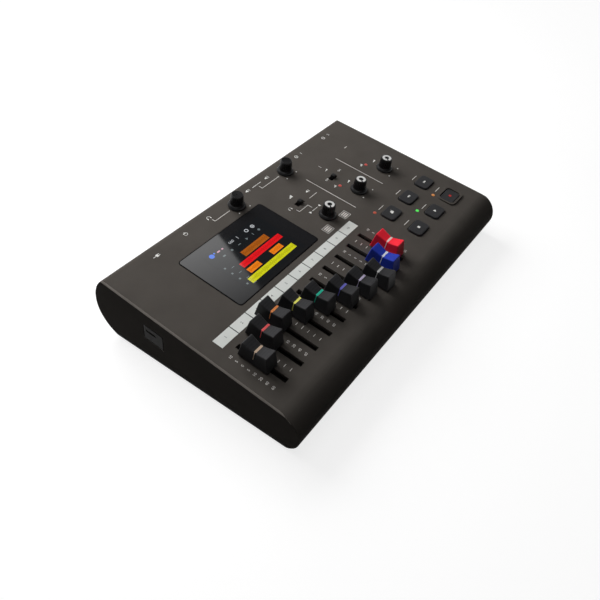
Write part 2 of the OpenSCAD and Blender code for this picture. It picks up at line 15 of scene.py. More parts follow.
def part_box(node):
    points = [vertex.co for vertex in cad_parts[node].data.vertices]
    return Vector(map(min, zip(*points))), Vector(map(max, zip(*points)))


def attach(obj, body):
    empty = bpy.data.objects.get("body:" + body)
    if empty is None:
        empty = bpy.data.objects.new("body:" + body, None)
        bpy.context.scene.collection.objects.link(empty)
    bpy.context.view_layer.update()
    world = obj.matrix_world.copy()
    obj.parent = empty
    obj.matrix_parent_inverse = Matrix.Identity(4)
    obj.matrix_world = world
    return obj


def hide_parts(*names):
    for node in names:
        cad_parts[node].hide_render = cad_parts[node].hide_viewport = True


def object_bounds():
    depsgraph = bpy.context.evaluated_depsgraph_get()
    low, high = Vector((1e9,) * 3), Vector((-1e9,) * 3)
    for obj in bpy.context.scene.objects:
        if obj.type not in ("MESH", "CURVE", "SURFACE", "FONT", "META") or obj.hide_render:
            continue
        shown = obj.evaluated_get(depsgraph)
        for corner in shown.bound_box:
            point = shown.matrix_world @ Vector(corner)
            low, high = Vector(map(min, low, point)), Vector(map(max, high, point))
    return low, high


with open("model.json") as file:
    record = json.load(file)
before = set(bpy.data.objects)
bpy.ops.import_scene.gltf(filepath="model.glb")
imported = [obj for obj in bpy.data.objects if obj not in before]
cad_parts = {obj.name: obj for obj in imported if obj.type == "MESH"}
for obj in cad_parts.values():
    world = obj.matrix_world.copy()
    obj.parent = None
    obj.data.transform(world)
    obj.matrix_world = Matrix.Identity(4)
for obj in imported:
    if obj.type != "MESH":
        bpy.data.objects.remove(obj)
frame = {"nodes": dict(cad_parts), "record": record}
nodes = frame["nodes"]
cad_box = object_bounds()
print("CAD box", [round(v, 4) for corner in cad_box for v in corner])

# %% [markdown]
# The control panel slopes down to the front by seven degrees. Everything on it is easier to model
# flat, so panel pieces are made with x to the right, y to the rear and z up from the panel, with
# y = 0 on the rear top edge. One matrix then lays them on the slope. The levers of the faders show
# where the ten faders stand and how far apart they are.

# %% Panel frame
MM = 0.001
TILT = math.radians(7)
REAR_BULGE = 11.9 * MM
REAR_HEIGHT = 50 * MM
rear_edge = Vector((0, cad_box[1].y - REAR_BULGE, REAR_HEIGHT))
PANEL = Matrix.Translation(rear_edge) @ Matrix.Rotation(TILT, 4, "X")
TO_PANEL = PANEL.inverted()


def panel_centre(node):
    """Middle of a CAD node's box, seen in the panel frame."""
    low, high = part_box(node)
    return TO_PANEL @ ((low + high) / 2)


FADERS = 10
faders = [panel_centre(f"fader_lever_{i + 1}") for i in range(FADERS)]
PITCH = (faders[-1].x - faders[0].x) / (FADERS - 1)
print("fader pitch", round(PITCH / MM, 2), "mm, first at", round(faders[0].x / MM, 1))

# %% [markdown]
# A few small helpers keep the rest short. Blender's operators act on whatever is selected, so each
# new piece starts from a clean selection, and its parts are picked by their place or normal.

# %% Helpers for starting and selecting
def leave_edit_mode():
    bpy.ops.object.mode_set(mode="OBJECT")


def apply_place():
    """Moves the active object's place, turn and size into its mesh."""
    bpy.ops.object.transform_apply(location=True, rotation=True, scale=True)


def clear_selection():
    if bpy.context.object and bpy.context.object.mode != "OBJECT":
        leave_edit_mode()
    bpy.ops.object.select_all(action="DESELECT")


def make_active(obj):
    clear_selection()
    obj.select_set(True)
    bpy.context.view_layer.objects.active = obj


def everything(element):
    return True


def pick(obj, kind, test):
    """Enters edit mode with the vertices, edges or faces that pass a test selected."""
    bpy.ops.object.mode_set(mode="EDIT")
    bpy.ops.mesh.select_mode(type=kind)
    bpy.ops.mesh.select_all(action="DESELECT")
    leave_edit_mode()
    mesh = obj.data
    if kind == "VERT":
        for v in mesh.vertices:
            v.select = test(v.co)
    if kind == "EDGE":
        for e in mesh.edges:
            e.select = test(mesh.vertices[e.vertices[0]].co, mesh.vertices[e.vertices[1]].co)
    if kind == "FACE":
        for f in mesh.polygons:
            f.select = test(f)
    bpy.ops.object.mode_set(mode="EDIT")


def block(size, place):
    """A cube primitive of a given size and middle, ready to be shaped."""
    clear_selection()
    bpy.ops.mesh.primitive_cube_add(size=1, location=place)
    obj = bpy.context.object
    obj.scale = size
    apply_place()
    return obj


print("selection helpers ready")

# %% [markdown]
# No moulded edge is knife sharp, so most pieces get their edges rounded by a bevel. A finished piece has
# its place in its mesh and its object at the origin, as the CAD nodes do, so that patterns on Object
# coordinates stay where they are.

# %% Helpers for easing and placing a piece
SMOOTH = 40


def apply_modifier(obj, kind, **settings):
    make_active(obj)
    modifier = obj.modifiers.new(kind.lower(), kind)
    for key, value in settings.items():
        setattr(modifier, key, value)
    bpy.ops.object.modifier_apply(modifier=modifier.name)


def soften(obj, width, segments=3, angle=30, clamp=True):
    """Rounds every edge that is sharper than an angle, and keeps the flat faces flat in shading."""
    apply_modifier(obj, "BEVEL", width=width, segments=segments, limit_method="ANGLE",
                   angle_limit=math.radians(angle), use_clamp_overlap=clamp,
                   face_strength_mode="FSTR_AFFECTED")
    bpy.ops.object.shade_smooth_by_angle(angle=math.radians(SMOOTH))
    apply_modifier(obj, "WEIGHTED_NORMAL", keep_sharp=True, weight=100, use_face_influence=True)


def settle(obj, name, body, material, slot, *replaced):
    """Applies the piece's place, gives it its material and lets it ride on its body."""
    make_active(obj)
    apply_place()
    obj.name = name
    obj.data.name = name
    obj.data.materials.clear()
    obj.data.materials.append(material)
    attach(obj, body)
    if replaced:
        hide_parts(*replaced)
    return obj


def lay_on_panel(obj):
    """Moves a piece that was modelled flat onto the sloping panel."""
    make_active(obj)
    apply_place()
    obj.matrix_world = PANEL
    apply_place()


print("placing helpers ready")

# %% [markdown]
# The picture is taken from the front left and above. The camera stands where the straight edges of
# the panel, the strip and the fader slots converge as they do in the picture, with a normal lens.

# %% Camera
CAMERA_PLACE, CAMERA_TURN = (-0.2687, -0.1778, 0.2945), (45.18, -1.24, -53.51)
SENSOR, LENS, NEAREST = 36, 35.26, 0.01
bpy.ops.object.camera_add(location=CAMERA_PLACE, rotation=[math.radians(a) for a in CAMERA_TURN])
camera = bpy.context.object
camera.data.sensor_width = SENSOR
camera.data.lens = LENS
camera.data.clip_start = NEAREST
bpy.context.scene.camera = camera
print("camera lens", camera.data.lens)

# %% [markdown]
# A finish is a Principled shader fed by noise. Broad noise shifts the colour a little, as real
# moulded parts have cloudy patches. Fine noise gives the moulded grain as bump, and a middle scale
# breaks up the gloss. Edges get a little paler, found by how sharply the mesh turns: partly wear,
# and partly a painted highlight where lamps would catch the edges.

# %% Helper for moulded finishes
CLOUD_FROM, CLOUD_TO = 0.3, 0.7
# Paler edges: partly wear, partly a painted highlight
WEAR_HIGHLIGHT_FROM, WEAR_HIGHLIGHT_TO, WEAR_HIGHLIGHT_GAIN, WEAR_HIGHLIGHT_LIFT = 0.5, 0.57, 1.6, 0.08
GLOSS_FINER = 8
RELIEF = 0.05 * MM
FACTOR, COLOUR_A, COLOUR_B, COLOUR_OUT = 0, 6, 7, 2


def in_range(tree, value, low, high, at_low, at_high):
    """A value mapped from one range to another, held at both ends."""
    node = tree.nodes.new("ShaderNodeMapRange")
    for name, limit in (("From Min", low), ("From Max", high), ("To Min", at_low), ("To Max", at_high)):
        node.inputs[name].default_value = limit
    tree.links.new(value, node.inputs["Value"])
    return node


def moulded(name, colour, rough=0.5, grain=2500, bump=0.15, cloud=60, spread=0.12, wear_and_highlight=0.0,
            metal=0.0, shine=0.35, uneven=0.08):
    """A finish of one colour with clouds, grain, uneven gloss and, where asked for, paler edges, partly
    wear and partly a painted highlight.
    """
    material = bpy.data.materials.new(name)
    material.use_nodes = True
    tree = material.node_tree
    new, link = tree.nodes.new, tree.links.new
    shader = tree.nodes["Principled BSDF"]
    shader.inputs["Metallic"].default_value = metal
    shader.inputs["Specular IOR Level"].default_value = shine
    coords = new("ShaderNodeTexCoord")

    def noise(scale, detail):
        node = new("ShaderNodeTexNoise")
        node.inputs["Scale"].default_value = scale
        node.inputs["Detail"].default_value = detail
        link(coords.outputs["Object"], node.inputs["Vector"])
        return node.outputs["Fac"]

    ramp = new("ShaderNodeValToRGB")
    dark, light = ramp.color_ramp.elements
    dark.position, light.position = CLOUD_FROM, CLOUD_TO
    dark.color = (*[c * (1 - spread) for c in colour], 1)
    light.color = (*[min(1, c * (1 + spread)) for c in colour], 1)
    link(noise(cloud, 4), ramp.inputs["Fac"])
    top = ramp.outputs["Color"]
    # Paler edges where the mesh turns sharply: partly wear, partly a painted highlight
    if wear_and_highlight:
        sharpness = new("ShaderNodeNewGeometry").outputs["Pointiness"]
        edge = in_range(tree, sharpness, WEAR_HIGHLIGHT_FROM, WEAR_HIGHLIGHT_TO, 0, wear_and_highlight)
        mix = new("ShaderNodeMix")
        mix.data_type = "RGBA"
        mix.inputs[COLOUR_B].default_value = (*[min(1, c * WEAR_HIGHLIGHT_GAIN + WEAR_HIGHLIGHT_LIFT) for c in colour], 1)
        link(edge.outputs["Result"], mix.inputs[FACTOR])
        link(top, mix.inputs[COLOUR_A])
        top = mix.outputs[COLOUR_OUT]
    link(top, shader.inputs["Base Color"])
    gloss = in_range(tree, noise(cloud * GLOSS_FINER, 3), 0, 1, rough - uneven, rough + uneven)
    link(gloss.outputs["Result"], shader.inputs["Roughness"])
    relief = new("ShaderNodeBump")
    relief.inputs["Strength"].default_value = bump
    relief.inputs["Distance"].default_value = RELIEF
    link(noise(grain, 2), relief.inputs["Height"])
    link(relief.outputs["Normal"], shader.inputs["Normal"])
    return material


def glowing(name, colour, strength, under=0.3, **finish):
    """A lit finish: a tinted gloss plastic with light of its own, a little uneven."""
    material = moulded(name, [c * under for c in colour], cloud=400, spread=0.1, **finish)
    shader = material.node_tree.nodes["Principled BSDF"]
    shader.inputs["Emission Color"].default_value = (*colour, 1)
    shader.inputs["Emission Strength"].default_value = strength
    return material


def srgb(r, g, b):
    """A colour in screen values from 0 to 255, as the linear values that a shader takes."""
    return [((c / 255 + 0.055) / 1.055) ** 2.4 if c > 10 else c / 255 / 12.92 for c in (r, g, b)]


print("finish helpers ready")

# %% [markdown]
# The case is sprayed in a warm charcoal that hardly shines, and the chamfer along its ends gets a
# paler paint as a painted highlight. The underside is plain black plastic. Caps and knobs are moulded
# in black with a satin gloss, and the keys and the flap are rubber, so they shine less. Caps, knobs
# and keys have paler edges, partly wear and partly a painted highlight.

# %% Finishes of the case, caps, knobs and keys
case_paint = moulded("case_paint", srgb(78, 74, 70), rough=0.8, grain=3200, bump=0.22, spread=0.06,
                     shine=0.04)
# Paler paint for the chamfer: a painted highlight
chamfer_highlight_paint = moulded("chamfer_highlight_paint", srgb(136, 130, 124), rough=0.5, grain=3200, bump=0.1, spread=0.06,
                    shine=0.2)
base_black = moulded("base_black", srgb(34, 33, 32), rough=0.7, grain=2600, bump=0.3, spread=0.1,
                     shine=0.06)
# The paler edges of caps, knobs and keys are partly wear and partly a painted highlight
cap_black = moulded("cap_black", srgb(33, 33, 35), rough=0.36, grain=3000, spread=0.1, wear_and_highlight=0.6,
                    shine=0.12)
cap_blue = moulded("cap_blue", srgb(32, 54, 166), rough=0.36, grain=3000, bump=0.1, spread=0.08,
                   wear_and_highlight=0.2, shine=0.2)
cap_red = moulded("cap_red", srgb(248, 36, 56), rough=0.36, grain=3000, bump=0.1, spread=0.06,
                  wear_and_highlight=0.2, shine=0.2)
knob_black = moulded("knob_black", srgb(17, 17, 18), rough=0.3, grain=3400, bump=0.12, spread=0.1,
                     wear_and_highlight=0.15, shine=0.2)
key_rubber = moulded("key_rubber", srgb(42, 42, 44), rough=0.55, grain=2800, bump=0.25, spread=0.08,
                     wear_and_highlight=0.3, shine=0.15)
flap_rubber = moulded("flap_rubber", srgb(43, 42, 41), rough=0.6, grain=2200, bump=0.3, spread=0.1,
                      shine=0.08)
foot_rubber = moulded("foot_rubber", srgb(24, 24, 24), rough=0.75, grain=1500, bump=0.4, spread=0.15)
print("moulded finishes:", len(bpy.data.materials))

# %% [markdown]
# The rest are the pale writing strip and the print, the dark glass, and what lies inside or at the
# rear: a green board, plated and tinned steel, and the sleeves of the cells. A metal differs
# from a plastic only in one socket of the shader, Metallic, so the same helper makes both.

# %% Finishes of the print, glass and metal pieces
PRINT = {"rough": 0.55, "grain": 5000, "bump": 0.1}
GLASS_GLOSS = {"rough": 0.05, "uneven": 0.02, "grain": 600, "bump": 0.0, "shine": 0.5}
strip_pale = moulded("strip_pale", srgb(214, 217, 213), grain=2000, bump=0.08, spread=0.03)
print_white = moulded("print_white", srgb(232, 232, 228), spread=0.08, **PRINT)
print_dim = moulded("print_dim", srgb(212, 209, 204), spread=0.1, **PRINT)
print_dark = moulded("print_dark", srgb(70, 74, 74), spread=0.1, **PRINT)
ring_white = moulded("ring_white", srgb(208, 208, 206), rough=0.4, grain=4000, bump=0.06, spread=0.03)
glass_dark = moulded("glass_dark", srgb(26, 26, 28), cloud=20, spread=0.1, **GLASS_GLOSS)
board_green = moulded("board_green", [0.02, 0.13, 0.05], rough=0.45, grain=900, bump=0.2, cloud=120,
                      spread=0.2)
plated = moulded("plated", [0.62, 0.61, 0.58], rough=0.3, grain=1800, bump=0.1, spread=0.08, metal=1.0)
tinned = moulded("tinned", [0.55, 0.56, 0.58], rough=0.42, grain=1200, metal=1.0)
cell_sleeve = moulded("cell_sleeve", [0.55, 0.33, 0.05], rough=0.3, grain=700, bump=0.05, spread=0.15)
print("finishes:", len(bpy.data.materials))

# %% [markdown]
# The two case shells are right in the CAD model, but their edges are knife sharp, and light never
# falls on a real moulding that way. A CAD node's mesh may not be changed, so each shell is copied,
# its loose triangles are merged into flat faces, and every edge is rounded by a few tenths of a
# millimetre. All other pieces that only need their edges eased are copied in the same way.

# %% Soft edged copies of CAD nodes
MERGE = 0.002 * MM
FLAT = math.radians(0.5)


def eased_copy(node, width, segments=2, angle=12):
    """A copy of a CAD node with its triangles merged and its edges rounded."""
    mesh = nodes[node].data.copy()
    obj = bpy.data.objects.new(node + "_eased", mesh)
    bpy.context.scene.collection.objects.link(obj)
    make_active(obj)
    if "custom_normal" in mesh.attributes:
        mesh.attributes.remove(mesh.attributes["custom_normal"])
    bpy.ops.object.mode_set(mode="EDIT")
    bpy.ops.mesh.select_all(action="SELECT")
    bpy.ops.mesh.remove_doubles(threshold=MERGE)
    bpy.ops.mesh.dissolve_limited(angle_limit=FLAT)
    leave_edit_mode()
    soften(obj, width, segments, angle, clamp=False)
    return obj


EASED = {
    "upper_case": (0.3, case_paint, "case_paint"),
    "lower_case": (0.4, base_black, "base"),
    "card_flap": (0.25, flap_rubber, "foot"),
    "battery_door": (0.3, base_black, "base"),
    "power_slider": (0.3, knob_black, "base"),
    "switch_1": (0.4, knob_black, "knob"),
    "switch_2": (0.4, knob_black, "knob"),
    "combo_sockets": (0.3, base_black, "base"),
    "plug_sockets": (0.3, base_black, "base"),
    "usb_socket": (0.08, plated, "metal"),
    "rubber_feet": (0.3, foot_rubber, "foot"),
    "case_screws": (0.25, tinned, "metal"),
    "display_glass": (0.1, glass_dark, "glass"),
    "label_strip": (0.05, strip_pale, "strip"),
}
body_of_node = {n: b for b, names in frame["record"]["behaviour"]["bodies"].items() for n in names}
for node, (width, material, slot) in EASED.items():
    piece = eased_copy(node, width * MM)
    settle(piece, node + "_eased", body_of_node[node], material, slot, node)
    print(node, "eased:", len(piece.data.polygons), "faces")

# %% [markdown]
# A narrow chamfer runs over the ends of the upper case, and a pale line is painted on it as a painted
# highlight, where the light would catch it. Its faces lie about a millimetre from either end and lean
# outwards and up, so they are picked by place and normal, and get a second material slot.

# %% Painted highlight on the chamfer of the upper case
END_X = cad_box[1].x
CHAMFER = 1.1 * MM
LEAN_OUT, LEAN_UP = 0.4, 0.3
shell = bpy.data.objects["upper_case_eased"]
make_active(shell)
shell.data.materials.append(chamfer_highlight_paint)


def on_chamfer(face):
    """Whether a face lies at either end of the case and leans outwards and up."""
    at_end = abs(face.center.x) > END_X - CHAMFER
    return at_end and abs(face.normal.x) > LEAN_OUT and face.normal.z > LEAN_UP


# The chamfer faces get the paler paint, a painted highlight
pick(shell, "FACE", on_chamfer)
shell.active_material_index = 1
bpy.ops.object.material_slot_assign()
leave_edit_mode()
print("chamfer faces:", sum(f.material_index for f in shell.data.polygons))

# %% [markdown]
# What lies inside the case is seen only through slots and open flaps. These nodes stay as the CAD
# model has them, and only get their finish.

# %% Finishes of the inner pieces
INNER = {
    "display_module": tinned, "main_board": board_green, "fader_frames": base_black, "pot_bodies": tinned,
    "tact_switches": base_black, "switch_bodies": base_black, "card_socket": plated,
    "battery_cells": cell_sleeve, "battery_contacts": plated,
}
INNER.update({n: plated for n in nodes if n.startswith(("fader_lever_", "shaft_"))})
for node, material in INNER.items():
    nodes[node].data.materials.clear()
    nodes[node].data.materials.append(material)
print("inner pieces finished:", len(INNER))

# %% [markdown]
# A fader cap is a moulding as long as a fingertip, with sloped ends and a saddle on top that dips
# to a coloured line, where the cap also has a waist. It starts as a cube. Cuts across it give rows of
# vertices, the top is drawn in, and each row is lowered and narrowed towards the middle. Every second
# row stays a hair higher, which leaves the fine ribs that keep the finger from slipping.

# %% Fader cap
CAP_LENGTH, CAP_TOP_LENGTH = 22 * MM, 17.4 * MM
CAP_WIDTH, CAP_TOP_WIDTH, CAP_WAIST = 10 * MM, 8.8 * MM, 7 * MM
CAP_FOOT, CAP_TOP, CAP_DIP, CAP_FLAT = 0.6 * MM, 12.5 * MM, 2.3 * MM, 1.8 * MM
CAP_ROUND = 0.6 * MM
RIB = 0.14 * MM
ROWS = 9
RIB_ROWS = range(2, ROWS, 2)
SADDLE_CURVE = 1.15
CLOSE = 0.1 * MM


def saddle(y):
    """How far out a row of the cap's top lies, from the flat under the line to the raised ends."""
    return min(1, max(0, abs(y) - CAP_FLAT / 2) / (CAP_TOP_LENGTH / 2 - CAP_FLAT / 2))


def cut_across(obj, y):
    pick(obj, "FACE", everything)
    bpy.ops.mesh.bisect(plane_co=(0, y, 0), plane_no=(0, 1, 0))
    leave_edit_mode()


def make_cap():
    height = CAP_TOP - CAP_FOOT
    cap = block((CAP_WIDTH, CAP_LENGTH, height), (0, 0, CAP_FOOT + height / 2))
    rows = [CAP_LENGTH / 2 * k / (ROWS + 1) for k in range(1, ROWS + 1)]
    for y in [0] + rows + [-r for r in rows]:
        cut_across(cap, y)
    shrink = CAP_TOP_LENGTH / CAP_LENGTH
    pick(cap, "VERT", lambda co: co.z > CAP_TOP - CLOSE)
    bpy.ops.transform.resize(value=(CAP_TOP_WIDTH / CAP_WIDTH, shrink, 1), center_override=(0, 0, CAP_TOP))
    leave_edit_mode()
    for k, row in enumerate([0] + rows):
        y = row * shrink
        lift = RIB if k in RIB_ROWS else 0
        waist = (CAP_WAIST + (CAP_TOP_WIDTH - CAP_WAIST) * saddle(y)) / CAP_TOP_WIDTH
        pick(cap, "VERT", lambda co: co.z > CAP_TOP - CLOSE and abs(abs(co.y) - y) < CLOSE / 2)
        bpy.ops.transform.translate(value=(0, 0, lift - CAP_DIP * (1 - saddle(y) ** SADDLE_CURVE)))
        bpy.ops.transform.resize(value=(waist, 1, 1), center_override=(0, 0, CAP_TOP))
        leave_edit_mode()
    soften(cap, CAP_ROUND, 4, angle=35)
    return cap


cap_model = make_cap()
print("cap faces:", len(cap_model.data.polygons))

# %% [markdown]
# A line of another plastic runs through the cap: broad on the flat at the bottom of the saddle, and
# thin down both sides. It is a thin block with rounded shoulders, joined to a small plate on top.

# %% Coloured line of the cap
LINE_THICK, LINE_BROAD, LINE_PROUD = 0.5 * MM, 1.45 * MM, 0.04 * MM
LINE_FOOT = CAP_FOOT + 4.2 * MM
LINE_TRIM, LINE_PLATE, LINE_EASE = 1.4 * CAP_ROUND, 0.4 * MM, 0.03 * MM


def join_pieces(pieces):
    """Several pieces of one finish as one."""
    clear_selection()
    for piece in pieces:
        piece.select_set(True)
    bpy.context.view_layer.objects.active = pieces[0]
    bpy.ops.object.join()
    return bpy.context.object


def make_cap_line():
    """The coloured line, moulded through the cap, that shows on top and faintly down both sides."""
    low, high = LINE_FOOT, CAP_TOP - CAP_DIP + LINE_PROUD
    lean = (CAP_WIDTH - CAP_WAIST) / (CAP_TOP - CAP_DIP - CAP_FOOT)
    wide = CAP_WIDTH - (low - CAP_FOOT) * lean + 2 * LINE_PROUD
    line = block((wide, LINE_THICK, high - low), (0, 0, (low + high) / 2))
    pick(line, "VERT", lambda co: co.z > high - CLOSE)
    narrow = (CAP_WAIST + 2 * LINE_PROUD) / wide
    bpy.ops.transform.resize(value=(narrow, 1, 1), center_override=(0, 0, high))
    leave_edit_mode()
    pick(line, "EDGE", lambda a, b: min(a.z, b.z) > high - CLOSE and abs(a.x - b.x) < CLOSE)
    bpy.ops.mesh.bevel(offset=CAP_ROUND, segments=4, affect="EDGES")
    leave_edit_mode()
    top = block((CAP_WAIST - LINE_TRIM, LINE_BROAD, LINE_PLATE), (0, 0, high - LINE_PLATE / 2))
    soften(top, LINE_EASE, 1)
    return join_pieces([line, top])


line_model = make_cap_line()
print("line faces:", len(line_model.data.polygons))

# %% [markdown]
# The cap and its line are copied to the ten faders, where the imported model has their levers. Eight caps
# are black, and the last two are blue and red. Each line has a colour of its own.

# %% Ten caps in place
def copy_of(model):
    """A copy of a modelled piece with a mesh of its own."""
    obj = bpy.data.objects.new(model.name, model.data.copy())
    bpy.context.scene.collection.objects.link(obj)
    return obj


def panel_copy(model, place, turn=0.0):
    """A copy that is turned and moved on the flat, and then laid on the panel."""
    obj = copy_of(model)
    obj.matrix_world = (Matrix.Translation((place[0], place[1], 0))
                        @ Matrix.Rotation(math.radians(turn), 4, "Z"))
    lay_on_panel(obj)
    return obj


LINE_COLOURS = [(216, 190, 164), (246, 98, 98), (246, 152, 84), (240, 236, 112), (48, 198, 168),
                (112, 112, 200), (196, 186, 214), (196, 196, 196), (236, 240, 250), (250, 226, 222)]
CAP_FINISH = [(cap_black, "cap_black")] * 8 + [(cap_blue, "cap_blue"), (cap_red, "cap_red")]
for i, place in enumerate(faders, 1):
    material, slot = CAP_FINISH[i - 1]
    cap = panel_copy(cap_model, place)
    settle(cap, f"fader_{i}_moulded_cap", f"fader_{i}", material, slot, f"fader_cap_{i}")
    colour = srgb(*LINE_COLOURS[i - 1])
    line_finish = moulded(f"cap_line_{i}", colour, rough=0.4, bump=0.05, spread=0.04)
    settle(panel_copy(line_model, place), f"fader_{i}_line", f"fader_{i}", line_finish, "strip")
bpy.data.objects.remove(cap_model)
bpy.data.objects.remove(line_model)
print("fader caps placed:", len(faders))

# %% [markdown]
# Knobs, rings, bushes and thin plates all start as a flat disc. Some have their middle cut out by an
# inset, and most are then made thick by pulling the whole flat shape up. An extruded sheet can end up
# inside out, so its normals are turned outwards.

# %% Helpers for discs, rims and plates
def disc(sides, radius, height=0.0):
    """A flat round face at a height, ready to be shaped."""
    clear_selection()
    bpy.ops.mesh.primitive_circle_add(vertices=sides, radius=radius, fill_type="NGON",
                                      location=(0, 0, height))
    apply_place()
    return bpy.context.object


def cut_out(rim):
    """Cuts the middle out of the picked face, and leaves a rim."""
    bpy.ops.mesh.inset(thickness=rim)
    bpy.ops.mesh.delete(type="FACE")


def face_outwards():
    bpy.ops.mesh.select_all(action="SELECT")
    bpy.ops.mesh.normals_make_consistent(inside=False)
    leave_edit_mode()


def thicken(height):
    """Makes the active flat shape a closed plate of a thickness."""
    bpy.ops.object.mode_set(mode="EDIT")
    bpy.ops.mesh.select_all(action="SELECT")
    bpy.ops.mesh.extrude_region_move(TRANSFORM_OT_translate={"value": (0, 0, height)})
    face_outwards()


print("disc helpers ready")

# %% [markdown]
# The knobs are turned shapes: a low skirt, a neck that tapers, and a shallow dish on top. A circle is
# pulled up through a list of radii and heights in millimetres, as a lathe would follow a template. The
# neck then gets narrow flutes, sunk one by one, for grip.

# %% Knob
KNOB_SIDES = 72
KNOB_STATIONS = [(6.5, 0.6), (6.5, 1.1), (6.25, 1.55), (5.7, 2.2), (5.0, 2.5), (4.85, 2.9), (4.8, 3.3),
                 (4.42, 9.2), (4.3, 9.8), (4.05, 10.12), (3.75, 10.2), (3.55, 10.05), (1.2, 9.95)]
NECK_LOW, NECK_HIGH, UPRIGHT = 4 * MM, 8 * MM, 0.3
FLUTE_EVERY, FLUTE_EDGE, FLUTE_DEEP = 3, 0.07 * MM, 0.24 * MM
KNOB_SMOOTH = 32


def on_neck(face):
    """Whether a face belongs to the knob's tapered neck."""
    return NECK_LOW < face.center.z < NECK_HIGH and abs(face.normal.z) < UPRIGHT


def make_knob():
    skirt, foot = KNOB_STATIONS[0]
    knob = disc(KNOB_SIDES, skirt * MM, foot * MM)
    bpy.ops.object.mode_set(mode="EDIT")
    bpy.ops.mesh.select_all(action="SELECT")
    for (r0, z0), (r1, z1) in zip(KNOB_STATIONS, KNOB_STATIONS[1:]):
        bpy.ops.mesh.extrude_region_move(TRANSFORM_OT_translate={"value": (0, 0, (z1 - z0) * MM)})
        bpy.ops.transform.resize(value=(r1 / r0, r1 / r0, 1), center_override=(0, 0, z1 * MM))
    face_outwards()
    angle = {f.index: math.atan2(f.center.y, f.center.x) for f in knob.data.polygons if on_neck(f)}
    flutes = set(sorted(angle, key=angle.get)[::FLUTE_EVERY])
    pick(knob, "FACE", lambda f: f.index in flutes)
    bpy.ops.mesh.inset(thickness=FLUTE_EDGE, depth=-FLUTE_DEEP, use_individual=True)
    leave_edit_mode()
    bpy.ops.object.shade_smooth_by_angle(angle=math.radians(KNOB_SMOOTH))
    return knob


knob_model = make_knob()
print("knob faces:", len(knob_model.data.polygons))

# %% [markdown]
# Three of the knobs carry a pale ring with a gap in it that points to the setting, and the other two
# have a plain top. The ring is a disc that is hollowed, cut open towards the rear and made thick.

# %% Pointer ring
RING_OUT, RING_IN, RING_TOP, RING_THICK = 3.5 * MM, 1.75 * MM, 10.12 * MM, 0.1 * MM
RING_SIDES = 60
HALF_GAP = math.radians(12)


def make_ring():
    """Pale ring with a gap towards the rear, where the setting is read."""
    ring = disc(RING_SIDES, RING_OUT, RING_TOP - RING_THICK)
    pick(ring, "FACE", everything)
    cut_out(RING_OUT - RING_IN)
    leave_edit_mode()
    pick(ring, "FACE", lambda f: abs(math.atan2(f.center.x, f.center.y)) < HALF_GAP)
    bpy.ops.mesh.delete(type="FACE")
    thicken(RING_THICK)
    return ring


ring_model = make_ring()
print("ring faces:", len(ring_model.data.polygons))

# %% [markdown]
# A knob turns through 275 degrees. The two plain ones stand in the middle of their travel, and the three
# with rings are turned down to the start of it, so their gap is turned half the travel from the rear.

# %% Five knobs in place
HALF_TRAVEL = 137.5
PLAIN_KNOBS, RING_KNOBS = ["phones", "output"], ["balance", "gain_1", "gain_2"]
for name in PLAIN_KNOBS + RING_KNOBS:
    place = panel_centre("shaft_" + name)
    turn = HALF_TRAVEL if name in RING_KNOBS else 0
    knob = panel_copy(knob_model, place, turn)
    settle(knob, f"{name}_turned", name + "_control", knob_black, "knob", "knob_" + name)
    if name in RING_KNOBS:
        ring = panel_copy(ring_model, place, turn)
        settle(ring, f"{name}_ring", name + "_control", ring_white, "strip")
bpy.data.objects.remove(knob_model)
bpy.data.objects.remove(ring_model)
print("knobs placed:", len(PLAIN_KNOBS), "plain,", len(RING_KNOBS), "with rings")

# %% [markdown]
# The keys are soft caps with round corners. The CAD node already has the lip and stem that hold each
# key under the panel, so a copy with well rounded edges is used.

# %% Keys
KEY_ROUND = 0.55 * MM
key_names = ["click", "rewind", "forward", "stop", "play", "record"]
for name in key_names:
    piece = eased_copy("key_" + name, KEY_ROUND, 4)
    settle(piece, f"{name}_soft_key", f"{name}_key", key_rubber, "key", "key_" + name)
print("keys:", len(key_names))

# %% [markdown]
# Signs and print are thin plates. A disc with as many corners as the shape needs has its corners moved
# to a list of places, and is then made thick. Several plates of one finish are joined to one piece,
# which is sunk by a hundredth of a millimetre, so that it doesn't float on what carries it.

# %% Helpers for thin plates
# Corners and heights of plates and print are in millimetres
PLATE_THICK, SINK = 0.04, 0.01
ARROW_RISE = 0.6


def flat_shape(points, place):
    """A thin plate from a list of corners: a disc whose corners are moved."""
    obj = disc(len(points), 1)
    for vertex, (x, y) in zip(obj.data.vertices, points):
        vertex.co = (place[0] + x * MM, place[1] + y * MM, place[2])
    thicken(PLATE_THICK * MM)
    return obj


def round_points(radius, count=28):
    turns = [2 * math.pi * k / count for k in range(count)]
    return [(radius * math.cos(turn), radius * math.sin(turn)) for turn in turns]


def rectangle(w, h, x=0.0, y=0.0):
    corners = ((-1, -1), (1, -1), (1, 1), (-1, 1))
    return [(x + across * w / 2, y + along * h / 2) for across, along in corners]


def join_flat(shapes, place):
    """Several thin plates as one piece."""
    plates = [flat_shape(points, place) for points in shapes]
    return join_pieces(plates) if len(plates) > 1 else plates[0]


def arrow(x, way, size=1.5):
    """A triangle that points to the right, or to the left where its way is -1."""
    back, tip, rise = x - way * size / 2, x + way * size / 2, size * ARROW_RISE
    return [(back, -rise), (tip, 0), (back, rise)]


print("plate helpers ready")

# %% [markdown]
# The signs on the keys are the common ones for a recorder: double arrows for winding, a square to stop,
# a triangle to play, a red dot to record, and a little metronome for the click.

